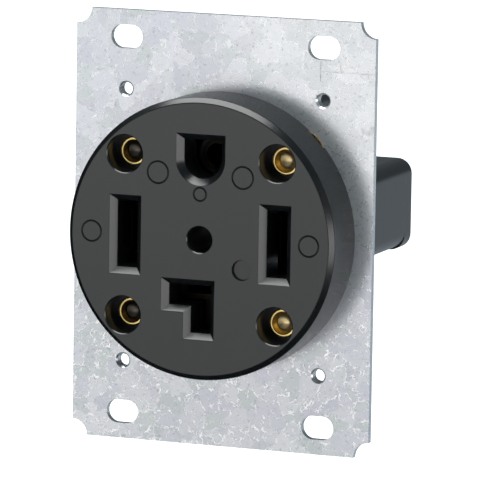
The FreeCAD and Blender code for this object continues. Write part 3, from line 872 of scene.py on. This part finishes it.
class OUTLET_OT_strap(bpy.types.Operator):
    """Builds the punched steel strap with its notches, slots, holes and strip gauge"""
    bl_idname = "outlet.strap"
    bl_label = "Steel strap"

    def execute(self, context):
        strap = context.scene.outlet_strap
        rivets = context.scene.outlet_rivets
        y = (STRAP_LOW.y, 0.0)
        through = grown(*y, OVERRUN)
        sheet = block((STRAP_LOW.x, STRAP_HIGH.x), y, (STRAP_LOW.z, STRAP_HIGH.z))
        window = cross(context.scene.outlet_body, through, strap.window_gap)
        combine(sheet, [window], "DIFFERENCE")
        cutters = []
        half_length = strap.slot_length / 2
        half_width = strap.slot_width / 2
        at = rivets.spacing / 2
        for sx, sz in CORNERS:
            cutters.append(rod(strap.notch_radius, through, sx * STRAP_HIGH.x, sz * STRAP_HIGH.z, HOLE_SIDES))
            x = sx * strap.slot_x / 2
            z = sz * strap.slot_z / 2
            cutters.append(block(grown(x, x, half_length), through, grown(z, z, half_width),
                                 half_width - NEAR, SLOT_SEGMENTS))
            cutters.append(rod(rivets.diameter / 2, through, sx * at, sz * at, HOLE_SIDES))
        carve(sheet, cutters)
        radius = strap.hole_diameter / 2
        wide = radius + strap.countersink
        steps = [(strap.countersink, strap.countersink),
                 (0, -STRAP_LOW.y + strap.collar_height + OVERRUN)]
        drawn = (STRAP_LOW.y / 2, strap.collar_height)
        collars = []
        holes = []
        for sx, sz in CORNERS:
            x = sx * strap.hole_x / 2
            z = sz * strap.hole_z / 2
            collars.append(rod(radius + strap.collar_wall, drawn, x, z, HOLE_SIDES))
            holes.append(sink(disc(wide, STRAP_LOW.y - OVERRUN, x, z, HOLE_SIDES), steps))
        combine(sheet, [joined(collars)], "UNION")
        soften(sheet, strap.edge_round)
        carve(sheet, holes)
        carve(sheet, self.gauge(strap))
        shade(sheet)
        zinc = finish_of(context.scene.outlet_finishes, "galvanised_steel")
        finished(sheet, "strap", zinc, "galvanised_steel", "mounting_strap")
        return {"FINISHED"}

    def gauge(self, strap):
        """Engraved T of the strip gauge, read from the strap's right edge."""
        half = strap.gauge_width / 2
        y = (STRAP_LOW.y - OVERRUN, STRAP_LOW.y + strap.gauge_depth)
        x, z = strap.gauge_x, strap.gauge_z
        upright = block(grown(x, x, half), y, grown(z, z, strap.gauge_half))
        level = block((x, STRAP_HIGH.x + OVERRUN), y, grown(z, z, half))
        return [combine(upright, [level], "UNION")]


ROLL_STEPS = 12
ROLL_FLATNESS = 0.6


class OUTLET_OT_rivets(bpy.types.Operator):
    """Builds the four rolled brass rivets"""
    bl_idname = "outlet.rivets"
    bl_label = "Rivets"

    def execute(self, context):
        rivets = context.scene.outlet_rivets
        seat = FACE_LOW.y + context.scene.outlet_face.recess_depth
        flange = context.scene.outlet_body.flange_thickness
        shank = rivets.diameter / 2
        bore = rivets.bore_diameter / 2
        roll = rivets.roll_diameter / 2
        head = rivets.head_diameter / 2
        mouth = rivets.mouth_diameter / 2
        crown = seat - rivets.roll_height
        bore_end = crown + rivets.bore_depth
        rear = flange + rivets.head_thickness
        tube = (roll - mouth) / 2
        middle = mouth + tube
        lip = crown + tube
        points = [(0, bore_end + rivets.cone_depth), (bore, bore_end), (bore, crown + rivets.mouth_depth)]
        for step in range(ROLL_STEPS + 1):
            turn = math.pi * step / ROLL_STEPS
            across = math.copysign(abs(math.cos(turn)) ** ROLL_FLATNESS, math.cos(turn))
            points.append((middle - tube * across, lip - tube * math.sin(turn) ** ROLL_FLATNESS))
        points += [(roll, seat - tube / 2), (roll - tube / 2, seat), (shank, seat), (shank, flange),
                   (head - rivets.head_round, flange), (head, flange + rivets.head_round),
                   (head - rivets.head_round, rear - rivets.head_round / 2), (head / 2, rear), (0, rear)]
        profile = [Vector((radius, y, 0)) for radius, y in points]
        rivet = spun(profile, (0, 1, 0), (0, 0, 0), RIVET_SIDES)
        at = rivets.spacing / 2
        copies = []
        for sx, sz in CORNERS:
            copy = turned_copy(rivet, 0)
            copy.data.transform(Matrix.Translation((sx * at, 0, sz * at)))
            copies.append(copy)
        bpy.data.objects.remove(rivet, do_unlink=True)
        group = joined(copies)
        shade(group, degrees=50.0)
        shaded_brass = rivet_brass(context.scene.outlet_finishes, lip + tube / 2)
        finished(group, "rivets", shaded_brass, "brass", "face_rivets")
        return {"FINISHED"}


def cross(body, y, margin=0.0):
    """The crossed arms' outline, drawn out along Y."""
    reach = body.reach + margin
    half = body.width / 2 + margin
    radius = body.corner_radius + margin
    level = block((-reach, reach), y, (-half, half), radius)
    upright = block((-half, half), y, (-reach, reach), radius)
    return combine(level, [upright], "UNION")


def tower(body, y):
    """The housing's four arms, each thicker on the side of its screw, with their pads from pad_front on."""
    shapes = []
    for name, degrees in ARM_TURNS.items():
        low = body.tower_low if name.startswith("hot") else body.tower_low_upright
        arm = block((-low, body.tower_reach), y, (-low, body.tower_high), body.tower_corner)
        pad = block((body.chamber_near, body.tower_reach), (max(y[0], body.pad_front), y[1]),
                    (-low - body.pad_proud, 0), body.tower_corner)
        for shape in (arm, pad):
            shape.data.transform(Matrix.Rotation(math.radians(degrees), 4, "Y"))
            shapes.append(shape)
    return combine(shapes[0], shapes[1:], "UNION")


def chambers(body, y, low, high):
    """Contact chambers of the four arms."""
    return on_each_arm(block((body.chamber_near, body.reach - body.wall), y, (-low, high)))


def core(body, y):
    """Square pocket between the chambers."""
    half = body.core_half
    return block((-half, half), y, (-half, half), body.core_radius)


class OUTLET_OT_body(bpy.types.Operator):
    """Builds the flange, the terminal housing and the rear cover"""
    bl_idname = "outlet.body"
    bl_label = "Rear mouldings"

    def execute(self, context):
        body = context.scene.outlet_body
        black = finish_of(context.scene.outlet_finishes, "black_moulding")
        for name, node, made in (("flange_body", "back_body", self.flange(context)),
                                 ("housing", "terminal_housing", self.housing(context)),
                                 ("wire_cover", "rear_cover", self.cover(context))):
            soften(made, body.edge_round)
            shade(made)
            finished(made, name, black, "black_moulding", node)
        return {"FINISHED"}

    def flange(self, context):
        """Round flange with the neck that stands in the strap's window."""
        body = context.scene.outlet_body
        rivets = context.scene.outlet_rivets
        rear = body.flange_thickness
        foot = rod(body.flange_diameter / 2, (0.0, rear), sides=FLANGE_SIDES)
        edit(foot, "EDGE", lambda e: level_at(e, rear))
        bpy.ops.mesh.bevel(offset=body.flange_bevel, segments=3, affect="EDGES")
        leave_edit(foot)
        combine(foot, [cross(body, (BODY_LOW.y, BODY_HIGH.y))], "UNION")
        at = rivets.spacing / 2
        through = grown(0.0, rear, OVERRUN)
        holes = [rod(rivets.diameter / 2, through, sx * at, sz * at, HOLE_SIDES) for sx, sz in CORNERS]
        half = body.width / 2 - body.wall
        return carve(foot, chambers(body, grown(BODY_LOW.y, BODY_HIGH.y, OVERRUN), half, half) + holes)

    def housing(self, context):
        """Lopsided tower with a chamber, a lug pocket and a screw well in each arm."""
        body = context.scene.outlet_body
        screws = context.scene.outlet_screws
        front, rear = HOUSING_LOW.y, HOUSING_HIGH.y
        made = tower(body, (front, rear))
        carve(made, chambers(body, (front - OVERRUN, body.pocket_front), body.chamber_low, body.pocket_high))
        middle = context.scene.outlet_face.hot_offset
        across = grown(middle, middle, body.pocket_half)
        pocket = block(across, (body.pocket_front - OVERRUN, rear + OVERRUN),
                       (-body.pocket_low, body.pocket_high))
        carve(made, on_each_arm(pocket))
        well_low = body.pocket_high - OVERRUN
        well_high = body.tower_high + OVERRUN
        pick_only()
        bpy.ops.mesh.primitive_cylinder_add(vertices=HOLE_SIDES, radius=body.well_diameter / 2,
                                            depth=well_high - well_low,
                                            location=(middle, screws.station, (well_low + well_high) / 2))
        carve(made, on_each_arm(settled()))
        return carve(made, [core(body, grown(front, rear, OVERRUN))])

    def cover(self, context):
        """Plate of the tower's outline with a wire entry behind each lug."""
        body = context.scene.outlet_body
        y = (COVER_LOW.y, COVER_HIGH.y)
        through = grown(*y, OVERRUN)
        sheet = tower(body, y)
        middle = context.scene.outlet_face.hot_offset
        entry = rod(body.entry_diameter / 2, through, middle, body.entry_shift)
        return carve(sheet, on_each_arm(entry) + [core(body, through)])


THREAD_CREST = (0.4, 0.6)
HEAD_SLOPE = 1.6


class OUTLET_OT_screws(bpy.types.Operator):
    """Builds the slotted terminal screws"""
    bl_idname = "outlet.screws"
    bl_label = "Terminal screws"

    def execute(self, context):
        look = context.scene.outlet_finishes
        screw = self.screw(context)
        left = turned_copy(screw, ARM_TURNS["hot_left"])
        neutral = turned_copy(screw, ARM_TURNS["neutral"])
        ground = turned_copy(screw, ARM_TURNS["ground"])
        pair = joined([screw, left])
        for obj, name, slot, node in ((pair, "brass_screws", "brass", "hot_screws"),
                                      (neutral, "plated_screw", "nickel", "neutral_screw"),
                                      (ground, "green_screw", "green_screw", "ground_screw")):
            shade(obj, degrees=35.0)
            finished(obj, name, finish_of(look, slot), slot, node)
        return {"FINISHED"}

    def screw(self, context):
        """The right-hand screw: bevelled head with a slot, and a ridged shank."""
        screws = context.scene.outlet_screws
        middle = context.scene.outlet_face.hot_offset
        head = screws.head_diameter / 2
        inner = screws.head_inner
        outer = inner + screws.head_height
        crest = screws.diameter / 2
        root = crest - screws.thread_depth
        bevel = screws.head_bevel
        points = [(0, outer), (head - bevel * HEAD_SLOPE, outer), (head, outer - bevel),
                  (head, inner + bevel / 2), (head - bevel / 2, inner), (root, inner)]
        z = inner
        while z - screws.thread_pitch > screws.tip:
            points += [(crest, z - screws.thread_pitch * share) for share in THREAD_CREST]
            points.append((root, z - screws.thread_pitch))
            z -= screws.thread_pitch
        points.append((0, screws.tip))
        profile = [Vector((middle + radius, screws.station, height)) for radius, height in points]
        made = spun(profile, (0, 0, 1), (middle, screws.station, 0), SCREW_SIDES)
        slot = block(grown(middle - head, middle + head, OVERRUN),
                     grown(screws.station, screws.station, screws.slot_width / 2),
                     (outer - screws.slot_depth, outer + OVERRUN))
        return combine(made, [slot], "DIFFERENCE")


class OUTLET_OT_metalwork(bpy.types.Operator):
    """Paints the frame's nodes, of which contacts, springs, lugs and ground strap are shown as they are, the
    contacts in near-black painted shade
    """
    bl_idname = "outlet.metalwork"
    bl_label = "Inner metalwork"

    def execute(self, context):
        look = context.scene.outlet_finishes
        # Painted shade: the contacts are painted almost black, for the shade deep in the openings.
        painted_shade = metal("Dull brass", look.brass_dull, look.moulding_pale, *METALS["contacts"])
        slots = {row["node"]: row["material_slot"] for row in frame["record"]["subparts"]}
        for name, obj in NODES.items():
            obj.data.materials.clear()
            contact = "contact" in name.split("_")
            obj.data.materials.append(painted_shade if contact else finish_of(look, slots[name]))
        return {"FINISHED"}


def softbox(name, place, width, height, radiance):
    """An area lamp that looks at the origin, as bright as its radiance."""
    pick_only()
    bpy.ops.object.light_add(type="AREA", location=place)
    lamp = bpy.context.active_object
    lamp.name = name
    lamp.rotation_euler = Vector(place).to_track_quat("Z", "Y").to_euler()
    lamp.data.shape = "RECTANGLE"
    lamp.data.size = width
    lamp.data.size_y = height
    lamp.data.energy = radiance * math.pi * width * height


# Place, width and height of each softbox, in metres
SOFTBOXES = {"overhead": ((-0.14, -0.14, 0.69), 0.70, 0.42), "right": ((0.78, -0.31, -0.13), 0.56, 0.44),
             "key": ((-0.55, -1.40, -0.06), 1.00, 0.34)}
SWEEP_SHARE = 0.25
SWEEP_STEPS = 8
SENSOR_WIDTH = 36.0
PLAIN_WHITE = (1.0, 1.0, 1.0)


class OUTLET_OT_stage(bpy.types.Operator):
    """Sets up the pale floor, the softboxes and the camera"""
    bl_idname = "outlet.stage"
    bl_label = "Stage"

    def execute(self, context):
        stage = context.scene.outlet_stage
        self.room(stage)
        for name, (place, width, height) in SOFTBOXES.items():
            softbox(name, place, width, height, getattr(stage, name))
        self.sky(context, stage)
        self.camera(context, stage)
        context.scene.view_settings.view_transform = "Standard"
        return {"FINISHED"}

    def room(self, stage):
        """Floor and round backdrop in one sweep."""
        floor = -stage.floor
        bend = stage.room * SWEEP_SHARE
        flat = stage.room - bend
        points = [Vector((0, 0, floor)), Vector((flat, 0, floor))]
        for step in range(1, SWEEP_STEPS + 1):
            turn = QUARTER * step / SWEEP_STEPS
            points.append(Vector((flat + bend * math.sin(turn), 0, floor + bend * (1 - math.cos(turn)))))
        points.append(Vector((stage.room, 0, floor + stage.room_height)))
        room = spun(points, (0, 0, 1), (0, 0, 0), ROOM_SIDES)
        edit(room, "FACE", lambda f: True)
        bpy.ops.mesh.normals_make_consistent(inside=True)
        pick_only(room)
        bpy.ops.object.shade_smooth()
        room.name = "floor"
        room.data.materials.append(self.white(stage))

    def white(self, stage):
        """Matt paint that is white to the camera, keeps shadows near the middle and glows in reflections."""
        material, tree, shader, given = new_material("Studio white")
        tree.nodes.remove(shader)
        path = tree.nodes.new("ShaderNodeLightPath").outputs
        place = add(tree, "ShaderNodeSeparateXYZ", Vector=given["Object"]).outputs
        reach = add(tree, "ShaderNodeVectorMath", {"operation": "LENGTH"}, Vector=given["Object"])
        far = between(tree, reach.outputs["Value"], 0.3, 1.1, 0.45, 1.0)
        seen = plus(tree, path["Is Camera Ray"], path["Is Transmission Ray"], clamp=True)
        glow = add(tree, "ShaderNodeEmission", Strength=times(tree, times(tree, seen, stage.white), far))
        cast = tint(tree, between(tree, place["Y"], -0.1, 0.4), PLAIN_WHITE, stage.shine_tint)
        sheen = add(tree, "ShaderNodeEmission", Color=cast, Strength=self.shine(stage, tree, place))
        coat = tint(tree, between(tree, place["Z"], -0.1, 0.35), stage.floor_white, stage.wall_grey)
        matt = add(tree, "ShaderNodeBsdfDiffuse", Color=coat)
        plain = add(tree, "ShaderNodeMixShader", Fac=path["Is Glossy Ray"])
        tree.links.new(matt.outputs[0], plain.inputs[1])
        tree.links.new(sheen.outputs[0], plain.inputs[2])
        both = tree.nodes.new("ShaderNodeAddShader")
        tree.links.new(glow.outputs[0], both.inputs[0])
        tree.links.new(plain.outputs[0], both.inputs[1])
        tree.links.new(both.outputs[0], tree.nodes["Material Output"].inputs["Surface"])
        return material

    def shine(self, stage, tree, place):
        """Glow in reflections at the front's low left and the rear's low right, by metres from the outlet."""
        left = between(tree, place["X"], 0.5, -0.1, 0.45, 1.0)
        low = between(tree, place["Z"], 0.25, -0.15, 0.3, 1.0)
        ahead = times(tree, left, between(tree, place["Y"], -0.1, -0.7, 0.0, stage.shine_front))
        slant = plus(tree, place["Y"], times(tree, place["X"], 0.5))
        behind = between(tree, slant, 0.1, 0.7, 0.0, stage.shine_back)
        return times(tree, low, plus(tree, ahead, behind))

    def sky(self, context, stage):
        """Even light from above the backdrop, dim in reflections."""
        world = bpy.data.worlds.new("Studio sky")
        context.scene.world = world
        world.use_nodes = True
        ground = world.node_tree.nodes["Background"]
        ground.inputs["Color"].default_value = (*stage.sky_tint, 1.0)
        path = world.node_tree.nodes.new("ShaderNodeLightPath").outputs
        level = between(world.node_tree, path["Is Glossy Ray"], 0.0, 1.0, stage.sky, stage.sky_shine)
        world.node_tree.links.new(level, ground.inputs["Strength"])

    def camera(self, context, stage):
        """Camera before the front, to its right and above, turned about its own axis."""
        a, e, r = stage.azimuth, stage.elevation, stage.roll
        back = Vector((math.sin(a) * math.cos(e), -math.cos(a) * math.cos(e), math.sin(e)))
        level = Vector((math.cos(a), math.sin(a), 0))
        upright = back.cross(level)
        right = level * math.cos(r) + upright * math.sin(r)
        up = upright * math.cos(r) - level * math.sin(r)
        place = right * stage.aim_x + up * stage.aim_y + back * stage.distance
        pick_only()
        bpy.ops.object.camera_add(location=place)
        camera = bpy.context.active_object
        turn = Matrix((right, up, back)).transposed().to_4x4()
        camera.matrix_world = Matrix.Translation(place) @ turn
        camera.data.lens = stage.lens
        camera.data.sensor_width = SENSOR_WIDTH
        context.scene.camera = camera


class OUTLET_PT_panel(bpy.types.Panel):
    """Lists the outlet's pieces and its stage"""
    bl_label = "Dryer outlet"
    bl_idname = "OUTLET_PT_panel"
    bl_space_type = "VIEW_3D"
    bl_region_type = "UI"
    bl_category = "Outlet"

    def draw(self, context):
        for operator in OPERATORS:
            self.layout.operator(operator.bl_idname)
        for group in GROUPS:
            settings = getattr(context.scene, group)
            box = self.layout.box()
            box.label(text=group.replace("_", " ").capitalize())
            for key in settings.__annotations__:
                box.prop(settings, key)


OPERATORS = (OUTLET_OT_metalwork, OUTLET_OT_face, OUTLET_OT_strap, OUTLET_OT_rivets, OUTLET_OT_body,
             OUTLET_OT_screws, OUTLET_OT_stage)
GROUPS = {"outlet_face": OutletFace, "outlet_strap": OutletStrap, "outlet_rivets": OutletRivets,
          "outlet_body": OutletBody, "outlet_screws": OutletScrews, "outlet_finishes": OutletFinishes,
          "outlet_stage": OutletStage}
CLASSES = (*GROUPS.values(), *OPERATORS, OUTLET_PT_panel)


def register():
    """Adds the classes, and the settings to the scene."""
    for kind in CLASSES:
        bpy.utils.register_class(kind)
    for name, kind in GROUPS.items():
        setattr(bpy.types.Scene, name, PointerProperty(type=kind))


def unregister():
    """Takes the settings and the classes away again."""
    for name in GROUPS:
        delattr(bpy.types.Scene, name)
    for kind in reversed(CLASSES):
        bpy.utils.unregister_class(kind)


def main():
    """Builds the outlet and its stage."""
    register()
    bpy.ops.outlet.metalwork()
    bpy.ops.outlet.face()
    bpy.ops.outlet.strap()
    bpy.ops.outlet.rivets()
    bpy.ops.outlet.body()
    bpy.ops.outlet.screws()
    bpy.ops.outlet.stage()


if __name__ == "__main__":
    main()
